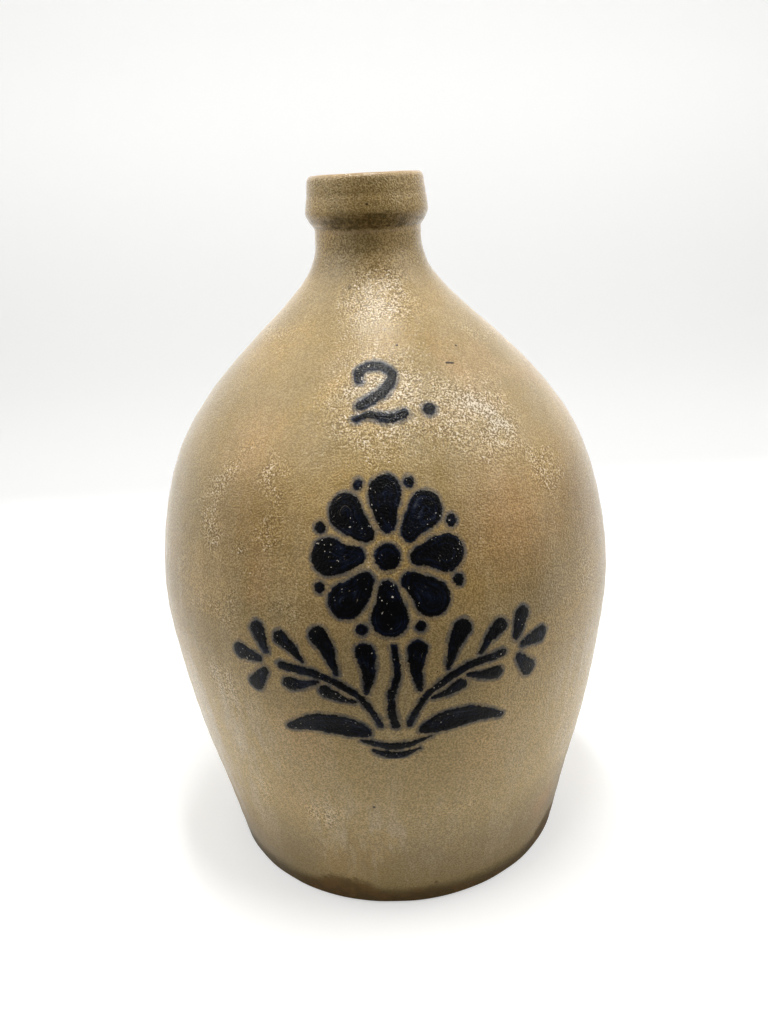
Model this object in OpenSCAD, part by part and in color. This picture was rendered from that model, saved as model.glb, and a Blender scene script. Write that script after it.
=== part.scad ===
// Two gallon ovoid stoneware jug: a hollow thrown body with a collared mouth, a pulled strap
// handle at the back, a brown slip lining and slip-trailed blue decoration on the front.
// The axis is Z, the foot stands on Z = 0, the decorated front faces -Y and the handle is at +Y.

/* [Body] */
// Radius of the foot where the jug stands
base_r = 91; // [70:1:105]
// Radius at the widest place
belly_r = 116; // [100:1:140]
// Height of the widest place
belly_z = 152; // [125:1:190]
// Height from the widest place to the neck
shoulder_h = 164; // [140:1:200]
// Radius of the neck under the collar
neck_r = 25.5; // [23:0.5:32]
// Height of the straight neck under the collar
neck_h = 5; // [3:0.5:12]
// Rounded edge of the foot
foot_round = 2; // [1:0.5:4]

/* [Collar and mouth] */
// Height of the collar
collar_h = 24; // [18:1:32]
// Largest radius of the collar, low on its side
collar_r = 29.4; // [28:0.2:38]
// Height of the sloping underside of the collar
collar_under_h = 7; // [4:0.5:9]
// Inward lean of the collar side, from its widest place to the rim
collar_lean = 2; // [0:0.5:4]
// Depth of the tooled line round the collar
collar_line_t = 0.3; // [0.1:0.1:0.8]
// Rounded outer edge of the rim
rim_round = 2.2; // [1:0.2:4]
// Radius of the mouth that takes the cork
bore_r = 15; // [11:0.5:18]
// Rounded inner edge of the mouth
mouth_round = 3.5; // [2:0.5:5]

/* [Clay thickness] */
// Thickness of the wall at the belly
wall_t = 7; // [5:0.5:10]
// Thickness of the floor
floor_t = 9; // [6:0.5:14]
// Rounded corner between the floor and the wall inside
floor_round = 14; // [8:1:25]
// Thickness of the brown slip lining
lining_t = 0.6; // [0.4:0.1:1.2]

/* [Strap handle] */
// Reach of the handle from the side of the neck
handle_reach = 72; // [64:1:85]
// Height from the neck down to where the handle lands on the shoulder
handle_drop = 76; // [66:1:90]
// Length of the thumb-pressed tail below the landing
handle_tail = 16; // [10:1:24]
// Width of the strap at its narrowest
strap_w = 30; // [24:1:38]
// Thickness of the strap
strap_t = 11; // [8:0.5:14]

/* [Slip decoration] */
// Height of the flower spray, measured up along the wall
spray_h = 119; // [90:1:130]
// Height of the foot of the spray
spray_z = 113; // [98:1:120]
// Height of the numeral, measured up along the wall
numeral_h = 27; // [18:1:34]
// Height of the foot of the numeral
numeral_z = 248; // [244:1:256]
// How far the trailed slip stands proud of the wall
slip_t = 0.8; // [0.5:0.1:1.5]
// Number of petals in the blossom
petals = 8; // [6:1:9]

/* [Hidden] */

clay_colour = [0.64, 0.53, 0.37];
handle_colour = [0.60, 0.50, 0.35];
lining_colour = [0.25, 0.14, 0.08];
cobalt_colour = [0.07, 0.10, 0.22];

// Heights that follow from the sizes above
neck_z = belly_z + shoulder_h;
collar_z = neck_z + neck_h;
jug_h = collar_z + collar_h;
throat_r = bore_r + lining_t;

// Stations of the wall, each a share of its height and a share of its growth in radius
lower_wall_shares = [[0, 0], [0.25, 0.305], [0.5, 0.64], [0.76, 0.885]];
upper_wall_shares = [[0, 1], [0.22, 0.949], [0.42, 0.828], [0.58, 0.632], [0.71, 0.405],
                     [0.82, 0.19], [0.9, 0.06], [0.96, 0.01], [1, 0]];
// The collar underside, each a share of the overhang and a share of the underside's height
collar_under_shares = [[0, 0], [0.3, 0.2], [0.6, 0.52], [0.88, 0.8], [1, 1]];
// The tooled line, each a share of the way up the collar's side and a share of the line's depth
collar_line_shares = [[0.44, 0], [0.48, 0.7], [0.51, 1], [0.54, 0.7], [0.58, 0]];
// Steps of the curve between one station and the next, and of a quarter round
wall_steps = 6;
round_steps = 5;

// The strap's middle line beside the neck: shares of the reach outward and of the drop
strap_path_shares = [[-0.19, -0.1], [0.14, 0.03], [0.42, 0.1], [0.75, 0.01],
                     [0.95, -0.27], [1, -0.58], [0.95, -0.85]];
// Along the strap: share of its length, share of its width, share of its thickness
strap_size_shares = [[0, 1.4, 1.2], [0.12, 1.28, 1.12], [0.3, 1, 1], [0.7, 1, 1],
                     [0.86, 1.16, 0.86], [0.94, 1.2, 0.55], [1, 0.72, 0.2]];
// Half of the strap's section: shares of the half width and of the half thickness, with a
// rounded edge, a groove and a middle ridge on the outer face and a flat inner face
strap_section_shares = [[0, 0.94], [0.2, 1], [0.38, 0.84], [0.54, 0.8], [0.7, 0.98], [0.86, 0.86],
                        [0.97, 0.42], [1, -0.1], [0.92, -0.6], [0.7, -0.9], [0.34, -1], [0, -1]];
strap_steps = 30;

// Slip strokes: the domed section as shares of the half width and of the slip's height with the
// number of its top point, the gap under the flat facets that keeps them off the round wall, and
// the share of that gap that a facet may sag into it
stroke_section_shares = [[-1, 0], [-0.62, 0.78], [0, 1], [0.62, 0.78], [1, 0]];
stroke_top = 2;
stroke_seat = 0.04;
stroke_sag_share = 0.75;
stroke_end_share = 0.2;
spot_steps = 6;
tear_steps = 9;
line_steps = 13;

function mix(a, b, t) = a + (b - a) * t;
function clamp01(t) = min(1, max(0, t));
function turned(list) = [for (i = [len(list) - 1 : -1 : 0]) list[i]];

// A smooth curve through the points, where s runs from 0 at the first to 1 at the last
function through(points, s) =
    let (
        last = len(points) - 1,
        i = min(last - 1, floor(s * last)),
        t = s * last - i,
        a = points[max(0, i - 1)],
        b = points[i],
        c = points[i + 1],
        d = points[min(last, i + 2)]
    )
    0.5 * (2 * b + (c - a) * t + (2 * a - 5 * b + 4 * c - d) * t * t
        + (3 * b - a - 3 * c + d) * t * t * t);

// A quarter round about a centre, from one angle to another
function round_edge(centre, r, from, to) =
    [for (i = [0 : round_steps]) centre + r * [cos(mix(from, to, i / round_steps)),
                                               sin(mix(from, to, i / round_steps))]];

// The outer wall from the foot to the straight neck, as [radius, height]
wall_stations = concat(
    [for (s = lower_wall_shares) [mix(base_r, belly_r, s[1]), mix(foot_round, belly_z, s[0])]],
    [for (s = upper_wall_shares) [mix(neck_r, belly_r, s[1]), belly_z + s[0] * shoulder_h]]);
wall_count = (len(wall_stations) - 1) * wall_steps;
wall_curve = [for (i = [0 : wall_count]) through(wall_stations, i / wall_count)];
wall_table = [for (p = wall_curve) [p[1], p[0]]];
function wall_r(z) = lookup(z, wall_table);

// The inside follows the outside: parallel below the belly, drawn in to the throat above it
function inside_r(z) = z < belly_z ? wall_r(z) - wall_t
    : throat_r + (wall_r(z) - neck_r) * (belly_r - wall_t - throat_r) / (belly_r - neck_r);

// Distance walked up the wall against height, so that a drawing keeps its size on the curve
function walked(i) = i == 0 ? 0 : walked(i - 1) + norm(wall_curve[i] - wall_curve[i - 1]);
walk_to_z = [for (i = [0 : wall_count]) [walked(i), wall_curve[i][1]]];
z_to_walk = [for (w = walk_to_z) [w[1], w[0]]];

// Outer outline from the foot to the top of the rim, with the tooled line round the collar
rim_r = collar_r - collar_lean;
rim_curve = round_edge([rim_r - rim_round, jug_h - rim_round], rim_round, 8, 90);
collar_side = [[collar_r, collar_z + collar_under_h], rim_curve[0]];
tooled_line = [for (s = collar_line_shares)
    mix(collar_side[0], collar_side[1], s[0]) - [s[1] * collar_line_t, 0]];
collar_outline = concat(
    [for (s = collar_under_shares) [mix(neck_r, collar_r, s[0]), collar_z + s[1] * collar_under_h]],
    tooled_line,
    rim_curve);
outer_outline = concat(
    round_edge([base_r - foot_round, foot_round], foot_round, -90, 0),
    [for (i = [1 : wall_count]) wall_curve[i]],
    collar_outline);

// Inner outline from the middle of the floor to the throat, with a skin taken off the clay
function inside_outline(skin) =
    let (
        corner_z = floor_t + floor_round,
        corner_r = inside_r(corner_z)
    )
    concat(
        [[0, floor_t + skin]],
        round_edge([corner_r - floor_round, corner_z], floor_round - skin, -90, 0),
        [for (p = wall_curve) if (p[1] > corner_z) [inside_r(p[1]) - skin, p[1]]]);

module jug_outside() {
    rotate_extrude($fn = 120)
        polygon(concat([[0, 0]], outer_outline, [[0, jug_h]]));
}

module jug_body() {
    mouth = round_edge([bore_r + mouth_round, jug_h - mouth_round], mouth_round, 90, 180);
    color(clay_colour)
        rotate_extrude($fn = 120)
            polygon(concat([[0, 0]], outer_outline, mouth, [[bore_r, neck_z]],
                           turned(inside_outline(0))));
}

module slip_lining() {
    color(lining_colour)
        rotate_extrude($fn = 120)
            polygon(concat(inside_outline(0), turned(inside_outline(lining_t))));
}

// Triangles that skin a row of rings with the same number of points, closed at both ends by a fan
// that starts at the ring's point with the number hub
function ring_faces(rings, count, hub) =
    let (
        far = (rings - 1) * count
    )
    concat(
        [for (i = [0 : rings - 2], j = [0 : count - 1])
            let (a = i * count + j, b = i * count + (j + 1) % count) [a, b, b + count]],
        [for (i = [0 : rings - 2], j = [0 : count - 1])
            let (a = i * count + j, b = i * count + (j + 1) % count) [a, b + count, a + count]],
        [for (j = [1 : count - 2]) [hub, (hub + j + 1) % count, (hub + j) % count]],
        [for (j = [1 : count - 2]) [far + hub, far + (hub + j) % count, far + (hub + j + 1) % count]]);

// The strap's middle line: out from the neck, over, down to the shoulder and along it
land_z = neck_z - handle_drop;
tail_z = land_z - handle_tail;
strap_line = concat(
    [for (s = strap_path_shares) [neck_r + s[0] * handle_reach, neck_z + s[1] * handle_drop]],
    [[wall_r(land_z) + 0.2 * strap_t, land_z]],
    [[wall_r(tail_z), tail_z]]);
strap_section = concat(
    strap_section_shares,
    [for (i = [len(strap_section_shares) - 2 : -1 : 1])
        [-strap_section_shares[i][0], strap_section_shares[i][1]]]);
strap_width_at = [for (s = strap_size_shares) [s[0], s[1]]];
strap_depth_at = [for (s = strap_size_shares) [s[0], s[2]]];

// One ring of the strap, square to its middle line
function strap_ring(s) =
    let (
        nudge = 0.5 / strap_steps,
        along = through(strap_line, min(1, s + nudge)) - through(strap_line, max(0, s - nudge)),
        out = [-along[1], along[0]] / norm(along),
        middle = through(strap_line, s),
        half_w = strap_w / 2 * lookup(s, strap_width_at),
        half_t = strap_t / 2 * lookup(s, strap_depth_at)
    )
    [for (p = strap_section)
        [p[0] * half_w, middle[0] + out[0] * p[1] * half_t, middle[1] + out[1] * p[1] * half_t]];

module strap_handle() {
    rings = [for (i = [0 : strap_steps]) strap_ring(i / strap_steps)];
    points = [for (ring = rings) each ring];
    color(handle_colour)
        difference() {
            polyhedron(points, ring_faces(len(rings), len(strap_section), 0));
            jug_outside();
        }
}

// A point of a drawing on the wall: x is measured round the wall at the radius round_r, y up
// along it from the height foot_z, and the lift stands off the wall
function on_wall(p, foot_z, round_r, lift) =
    let (
        z = lookup(lookup(foot_z, z_to_walk) + p[1], walk_to_z),
        turn = p[0] / round_r * 180 / PI,
        r = wall_r(z) + lift
    )
    [r * sin(turn), -r * cos(turn), z];

// Length of a line of drawn points, walked in the given number of steps
function total(list) = list * [for (x = list) 1];
function line_length(points, steps) = total([for (i = [1 : steps])
    norm(through(points, i / steps) - through(points, (i - 1) / steps))]);

// Width of a stroke along it: from the tail's share of the widest up to the head, or widest in
// the middle where leaf is true, with both ends rounded off
function stroke_width(s, long, widest, tail, leaf) =
    let (
        swell = leaf ? sin(180 * pow(s, 0.85)) : pow(s, 1.1),
        w = widest * mix(tail, 1, swell),
        near = clamp01(min(s, 1 - s) * long / (w / 2))
    )
    w * max(stroke_end_share, sqrt(1 - pow(1 - near, 2)));

// Longest chord whose middle stays within the sag of a round of radius r
function chord_for(r, sag) = sqrt(8 * r * sag);

// A domed stroke of slip laid on the wall along a smooth line of drawn points. Its underside is
// cut into chords short enough to stay clear of the round wall, whatever the stroke's size
module stroke(points, widest, tail, leaf, least_steps, foot_z, round_r) {
    long = line_length(points, least_steps);
    chord = chord_for(round_r, stroke_sag_share * stroke_seat);
    steps = max(least_steps, ceil(long * PI / 2 / chord));
    chords = ceil(widest / chord);
    section = concat(stroke_section_shares,
                     [for (i = [chords - 1 : -1 : 1]) [2 * i / chords - 1, 0]]);
    nudge = 0.5 / steps;
    rings = [for (i = [0 : steps])
        let (
            s = (1 - cos(180 * i / steps)) / 2,
            along = through(points, min(1, s + nudge)) - through(points, max(0, s - nudge)),
            side = [along[1], -along[0]] / norm(along),
            half_w = stroke_width(s, long, widest, tail, leaf) / 2,
            rise = slip_t * min(1, half_w * 2 / slip_t)
        )
        [for (q = section)
            on_wall(through(points, s) + side * q[0] * half_w, foot_z, round_r,
                    stroke_seat + q[1] * rise)]];
    polyhedron([for (ring = rings) each ring], ring_faces(len(rings), len(section), stroke_top));
}

// Strokes of the spray are drawn in shares of its height, from the middle of its foot
module spray_stroke(shares, widest_share, tail_share, leaf, steps) {
    stroke([for (p = shares) p * spray_h], widest_share * spray_h, tail_share, leaf, steps,
           spray_z, belly_r);
}

// A round spot is a stroke that is as long as it is wide
function spot_line(centre, wide) = [centre - [0, wide / 2], centre + [0, wide / 2]];
function around(centre, r, angle) = centre + r * [cos(angle), sin(angle)];
function mirrored(points, side) = [for (p = points) [side * p[0], p[1]]];

blossom_share = [0.005, 0.715];
petal_in_share = 0.088;
petal_out_share = 0.285;
petal_width_share = 1.5;
petal_curl = 7;
eye_share = 0.1;
between_share = 0.046;

// Broad petals round a domed eye, with a small spot between each two petals
module slip_blossom() {
    middle_share = mix(petal_in_share, petal_out_share, 0.5);
    color(cobalt_colour) {
        for (i = [0 : petals - 1]) {
            a = 90 + 360 * i / petals;
            petal_shares = [around(blossom_share, petal_in_share, a - petal_curl),
                            around(blossom_share, middle_share, a),
                            around(blossom_share, petal_out_share, a - petal_curl / 2)];
            gap_share = around(blossom_share, petal_out_share - between_share / 4, a + 180 / petals);
            spray_stroke(petal_shares, petal_width_share / petals, 0.28, false, tear_steps);
            spray_stroke(spot_line(gap_share, between_share), between_share, 1, false, spot_steps);
        }
        spray_stroke(spot_line(blossom_share, eye_share), eye_share, 1, false, tear_steps);
    }
}

stem_width_share = 0.038;
stem_shares = [[0.008, 0.4], [0.018, 0.29], [-0.012, 0.17], [0.004, 0.05]];
side_stem_shares = [[0.05, 0.055], [0.125, 0.19], [0.265, 0.275], [0.425, 0.3]];

// A main stem under the blossom and an arching stem on each side
module slip_stems() {
    color(cobalt_colour) {
        spray_stroke(stem_shares, stem_width_share, 0.7, false, line_steps);
        for (side = [-1, 1])
            spray_stroke(mirrored(side_stem_shares, side), stem_width_share, 0.75, false, line_steps);
    }
}

// Leaves of a side stem: where each springs from it, its turn, its length and its width
side_leaf_shares = [[0.28, 60, 0.2, 0.094], [0.515, 58, 0.195, 0.094], [0.745, 54, 0.15, 0.078],
                    [0.26, -40, 0.14, 0.07], [0.6, -44, 0.145, 0.074]];
leaf_gap_share = 0.036;
leaf_tail_share = 0.2;
bud_share = [0.458, 0.302];
bud_turns = [-54, 8, 70];
bud_long_share = 0.125;
bud_width_share = 0.09;
low_leaf_shares = [[0.095, 0.025], [0.18, 0.054], [0.3, 0.062], [0.43, 0.02]];
low_leaf_width_share = 0.095;

// The middle line of a leaf: it leaves the stem at a gap and bends a little towards the tip
function leaf_line(root, along, turn, long) =
    let (
        a = atan2(along[1], along[0]) + turn,
        bend = -turn / 4
    )
    [around(root, leaf_gap_share, a), around(root, leaf_gap_share + long / 2, a + bend / 2),
     around(root, leaf_gap_share + long, a + bend)];

// Teardrop leaves along the side stems, a three-petalled bud on each tip, a long low leaf below
module slip_leaves() {
    color(cobalt_colour)
        for (side = [-1, 1]) {
            for (leaf = side_leaf_shares) {
                root = through(side_stem_shares, leaf[0]);
                along = through(side_stem_shares, leaf[0] + 0.1) - root;
                line = leaf_line(root, along, leaf[1], leaf[2]);
                spray_stroke(mirrored(line, side), leaf[3], leaf_tail_share, false, tear_steps);
            }
            for (turn = bud_turns) {
                line = [around(bud_share, leaf_gap_share, turn),
                        around(bud_share, leaf_gap_share + bud_long_share, turn)];
                spray_stroke(mirrored(line, side), bud_width_share, 0.3, false, tear_steps);
            }
            spray_stroke(mirrored(low_leaf_shares, side), low_leaf_width_share, 0.2, true, line_steps);
        }
}

// Curved strokes of ground under the stems: share of the height, of the half width, of the sag
ground_shares = [[-0.022, 0.14, 0.018], [-0.069, 0.095, 0.013]];
ground_width_share = 0.036;

module slip_ground() {
    color(cobalt_colour)
        for (g = ground_shares)
            spray_stroke([[-g[1], g[0] + g[2]], [0, g[0] - g[2]], [g[1], g[0] + g[2]]],
                         ground_width_share, 0.3, true, line_steps);
}

numeral_hook_shares = [[-0.3, 0.66], [-0.27, 0.89], [0.03, 0.98], [0.27, 0.79],
                       [0.14, 0.53], [-0.1, 0.34], [-0.3, 0.22]];
numeral_foot_shares = [[-0.36, -0.02], [-0.14, 0.085], [0.14, 0.0], [0.44, 0.09]];
numeral_stop_share = [0.74, 0.1];
numeral_width_share = 0.2;
stop_width_share = 0.22;

module numeral_stroke(shares, widest_share, tail_share, steps) {
    stroke([for (p = shares) p * numeral_h], widest_share * numeral_h, tail_share, false, steps,
           numeral_z, wall_r(numeral_z + numeral_h / 3));
}

// A plain two with a full stop, the jug's capacity in gallons
module slip_numeral() {
    color(cobalt_colour) {
        numeral_stroke(numeral_hook_shares, numeral_width_share, 0.9, 2 * line_steps);
        numeral_stroke(numeral_foot_shares, numeral_width_share, 0.6, line_steps);
        numeral_stroke(spot_line(numeral_stop_share, stop_width_share), stop_width_share, 1,
                       tear_steps);
    }
}

jug_body();
strap_handle();
slip_lining();
slip_numeral();
slip_blossom();
slip_stems();
slip_leaves();
slip_ground();
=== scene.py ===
import math

import bpy
import numpy as np
from mathutils import Matrix, Vector


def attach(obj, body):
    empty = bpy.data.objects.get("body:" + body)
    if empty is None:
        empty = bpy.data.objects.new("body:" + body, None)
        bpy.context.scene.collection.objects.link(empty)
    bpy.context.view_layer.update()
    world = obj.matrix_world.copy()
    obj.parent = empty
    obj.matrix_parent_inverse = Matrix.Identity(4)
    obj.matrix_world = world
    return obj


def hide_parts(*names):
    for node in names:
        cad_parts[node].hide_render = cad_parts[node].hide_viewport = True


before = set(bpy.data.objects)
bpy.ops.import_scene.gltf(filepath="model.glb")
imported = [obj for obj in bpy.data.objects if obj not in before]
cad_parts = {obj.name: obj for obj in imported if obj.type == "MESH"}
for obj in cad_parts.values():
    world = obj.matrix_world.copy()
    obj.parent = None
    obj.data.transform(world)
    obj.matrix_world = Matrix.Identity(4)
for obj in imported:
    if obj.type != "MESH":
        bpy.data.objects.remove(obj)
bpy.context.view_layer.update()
mm = 0.001
print("stage: frame loaded")


def addObject(name, data):
    made = bpy.data.objects.new(name, data)
    bpy.context.scene.collection.objects.link(made)
    return made


# camera: standing in front of the jug, level with the rim, looking down at the belly
cameraPlace = {
    "location": (-0.0013, -0.439, 0.3386),
    "turn": -0.24,
    "tiltDown": 20.24,
    "roll": -3.07,
    "lens": 30.99,
    "filmHeight": 36,
    "nearest": 0.01,
}


def addCamera(place):
    data = bpy.data.cameras.new("studioCamera")
    data.sensor_fit = "VERTICAL"
    data.sensor_height = place["filmHeight"]
    data.lens = place["lens"]
    data.clip_start = place["nearest"]
    camera = addObject("studioCamera", data)
    turn = Matrix.Rotation(math.radians(place["turn"]), 4, "Z")
    tilt = Matrix.Rotation(math.radians(90 - place["tiltDown"]), 4, "X")
    roll = Matrix.Rotation(math.radians(place["roll"]), 4, "Z")
    camera.matrix_world = Matrix.Translation(place["location"]) @ turn @ tilt @ roll
    bpy.context.scene.camera = camera


addCamera(cameraPlace)


# smooth step: 0 below low, 1 above high, and 3t^2 - 2t^3 between them
def ease(low, high, value):
    t = np.clip((value - low) / (high - low), 0, 1)
    return t * t * (3 - 2 * t)


# unevenness of the hand, always between -1 and 1: the mean of sine waves in seeded directions
def waves(coords, spacing, seed, count=6):
    random = np.random.default_rng(seed)
    total = 0
    for _ in range(count):
        direction = random.normal(size=len(coords))
        direction /= np.linalg.norm(direction) * random.uniform(0.7, 1.5) * spacing
        turns = sum(d * c for d, c in zip(direction, coords)) + random.uniform(0, 1)
        total = total + np.sin(2 * np.pi * turns)
    return total / count


# the same between 0 and a depth
def humps(coords, depth, spacing, seed):
    return depth * (0.5 + 0.5 * waves(coords, spacing, seed))


# distance walked along a flat line of points, from 0 at the first of them
def walkAlong(x, y):
    return np.concatenate([[0], np.cumsum(np.hypot(np.diff(x), np.diff(y)))])


# curve through the values that never overshoots: cubics whose slope at a knot is the harmonic
# mean of the slopes beside it, and level at a peak
def flowing(knots, values, at):
    step = np.diff(knots)
    slope = np.diff(values) / step
    before, after = slope[:-1], slope[1:]
    same = before * after > 0
    weightBefore = 2 * step[1:] + step[:-1]
    weightAfter = step[1:] + 2 * step[:-1]
    inverse = weightBefore / np.where(same, before, 1) + weightAfter / np.where(same, after, 1)
    middle = np.where(same, (weightBefore + weightAfter) / inverse, 0)
    tangent = np.concatenate([slope[:1], middle, slope[-1:]])
    i = np.clip(np.searchsorted(knots, at, side="right") - 1, 0, len(step) - 1)
    t = (at - knots[i]) / step[i]
    startPull = t * (1 - t) ** 2 * step[i] * tangent[i]
    endPull = t * t * (t - 1) * step[i] * tangent[i + 1]
    blend = t * t * (3 - 2 * t)
    return values[i] * (1 - blend) + values[i + 1] * blend + startPull + endPull


# smooth line through drawn points for s from 0 to 1, the one that the solids follow: each stretch
# is the cubic that leaves along the chord of its neighbours
def through(points, s):
    points = np.asarray(points, float)
    last = len(points) - 1
    i = np.minimum(last - 1, np.floor(s * last).astype(int))
    t = (s * last - i)[:, None]
    a = points[np.maximum(0, i - 1)]
    b = points[i]
    c = points[i + 1]
    d = points[np.minimum(last, i + 2)]
    return 0.5 * (2 * b + (c - a) * t + (2 * a - 5 * b + 4 * c - d) * t ** 2
                  + (3 * b - a - 3 * c + d) * t ** 3)


def putMesh(name, points, faces, floats=None):
    mesh = bpy.data.meshes.new(name)
    mesh.from_pydata(points.reshape(-1, 3), [], faces)
    for label, values in (floats or {}).items():
        layer = mesh.attributes.new(label, "FLOAT", "POINT")
        layer.data.foreach_set("value", np.asarray(values, np.float32).ravel())
    mesh.polygons.foreach_set("use_smooth", np.ones(len(mesh.polygons), bool))
    mesh.update()
    return addObject(name, mesh)


# skin over a grid of rings, closed round each ring and with a fan of triangles on each end
def ringSkin(name, grid):
    rows, cols = grid.shape[:2]
    row, col = np.meshgrid(np.arange(rows - 1), np.arange(cols), indexing="ij")
    here = row * cols + col
    beside = row * cols + (col + 1) % cols
    quads = np.stack([here, beside, beside + cols, here + cols], -1).reshape(-1, 4)
    around = np.arange(cols)
    onward = (around + 1) % cols
    last = (rows - 1) * cols
    pole = np.full(cols, rows * cols)
    firstFan = np.stack([pole, onward, around], -1)
    lastFan = np.stack([pole + 1, last + around, last + onward], -1)
    points = np.concatenate([grid.reshape(-1, 3), [grid[0].mean(0), grid[-1].mean(0)]])
    return putMesh(name, points, quads.tolist() + firstFan.tolist() + lastFan.tolist())


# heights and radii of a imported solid's rings, read off the faces that look away from the axis
# (facing 1) or towards it (facing -1)
def ringsOf(node, facing):
    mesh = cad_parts[node].data
    points = np.array([vertex.co for vertex in mesh.vertices])
    corners = np.array([tuple(face.vertices) for face in mesh.polygons])
    normals = np.array([face.normal for face in mesh.polygons])
    middles = points[corners].mean(1)[:, :2]
    outward = (normals[:, :2] * middles).sum(1) / np.linalg.norm(middles, axis=1)
    used = points[np.unique(corners[outward * facing > 0.05])]
    levels, place = np.unique(np.round(used[:, 2], 5), return_inverse=True)
    reach = np.full(len(levels), -1.0)
    np.maximum.at(reach, place.ravel(), facing * np.hypot(used[:, 0], used[:, 1]))
    return levels, facing * reach


# tooled corners of the collar, worn soft
wear = {
    "belowRim": 27 * mm,
    "reach": 0.8 * mm,
    "fade": 2 * mm,
    "step": 0.1 * mm,
    "bellSteps": 30,
    "keeps": 6,
}


# outline cut into fine steps and averaged with a bell weight. One step in so many is kept
def wornSoft(levels, radii):
    fromZ, margin = levels[-1] - wear["belowRim"], wear["bellSteps"]
    walk = walkAlong(radii, levels)
    fine = np.linspace(0, walk[-1], int(walk[-1] / wear["step"]))
    fineZ, fineR = np.interp(fine, walk, levels), np.interp(fine, walk, radii)
    bell = np.exp(-0.5 * (np.arange(-margin, margin + 1) * wear["step"] / wear["reach"]) ** 2)
    bell /= bell.sum()
    softZ, softR = (np.convolve(np.pad(v, margin, "edge"), bell, "valid") for v in (fineZ, fineR))
    share = ease(fromZ, fromZ + wear["fade"], fineZ) * ease(0, wear["fade"], walk[-1] - fine)
    mixedZ, mixedR = fineZ + share * (softZ - fineZ), fineR + share * (softR - fineR)
    kept = (fineZ > fromZ) & (np.arange(len(fine)) % wear["keeps"] == 0)
    below = levels < fromZ
    newZ, newR = np.append(levels[below], mixedZ[kept]), np.append(radii[below], mixedR[kept])
    return np.append(newZ, levels[-1]), np.append(newR, radii[-1])


outerZ, outerR = wornSoft(*ringsOf("jug_body", 1))
innerZ, innerR = ringsOf("jug_body", -1)
jugHeight = outerZ[-1]
poleR = 0.5 * mm


# thrown wall: the turned outline with what the wheel and the hands left on it. Lobes, dents and sag
# are each a depth, a spacing and a seed, drawn round the axis at the pattern's radius
wall = {
    "patternR": 100 * mm,
    "ringSpacing": 13 * mm,
    "ringDepth": 0.13 * mm,
    "swirl": (2.5, 160 * mm, 3),
    "lobes": (0.3 * mm, 190 * mm, 8),
    "footDents": (1, 21 * mm, 11),
    "footDentDepth": 0.45 * mm,
    "footDentFade": (1.8 * mm, 9 * mm),
    "creaseDents": (0.5 * mm, 24 * mm, 21),
    "creaseBelowRim": 23 * mm,
    "creaseBreadth": 1.8 * mm,
    "rimSag": (0.35 * mm, 90 * mm, 31),
    "sagBelowRim": 8 * mm,
    "drawnBelowRim": 30 * mm,
}
creaseZ = jugHeight - wall["creaseBelowRim"]


def outlineR(z):
    return flowing(outerZ, outerR, z)


# points round the axis
def turned(radius, z, angle):
    x, y, z = np.broadcast_arrays(radius * np.cos(angle), radius * np.sin(angle), z)
    return np.stack([x, y, z], -1)


# depth taken off the turned radius, never less than zero: rings that climb like a screw, slow
# lobes, a battered foot edge and an uneven collar crease
def wallDent(angle, z):
    x, y = np.cos(angle) * wall["patternR"], np.sin(angle) * wall["patternR"]
    swing, *swirl = wall["swirl"]
    turns = 2 * np.pi * z / wall["ringSpacing"] - angle + swing * waves((x, y, z), *swirl)
    dent = wall["ringDepth"] * (0.5 + 0.5 * np.sin(turns)) + humps((x, y, 0.6 * z), *wall["lobes"])
    foot = 1 - ease(*wall["footDentFade"], z)
    dent += wall["footDentDepth"] * foot * humps((x, y, z), *wall["footDents"]) ** 2
    crease = np.exp(-((z - creaseZ) / wall["creaseBreadth"]) ** 2)
    return dent + crease * humps((x, y, z), *wall["creaseDents"])


def wallRadius(angle, z):
    return outlineR(z) - wallDent(angle, z)


# distance walked up the wall from the foot to the neck, against height
walkZ = np.linspace(outerZ[0], jugHeight - wall["drawnBelowRim"], 3000)
walkR = outlineR(walkZ)
walked = walkAlong(walkR, walkZ)


# point on the wall: the angle runs from the front (-Y) towards +X, and lift stands off square to
# the outline
def onWall(angle, z, lift):
    flat = np.interp(z, walkZ, np.gradient(walkR, walkZ))
    lean = 1 / np.sqrt(1 + flat ** 2)
    bearing = angle - np.pi / 2
    radius = wallRadius(bearing, z) + lift * lean
    up = z - lift * lean * flat
    return turned(radius, up, bearing)


# middle of a spot on the wall, from its azimuth in degrees and its height in millimetres
def spotOnWall(azimuth, height):
    angle = math.radians(azimuth)
    radius = outlineR(height * mm)
    return radius * math.sin(angle), -radius * math.cos(angle), height * mm


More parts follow.
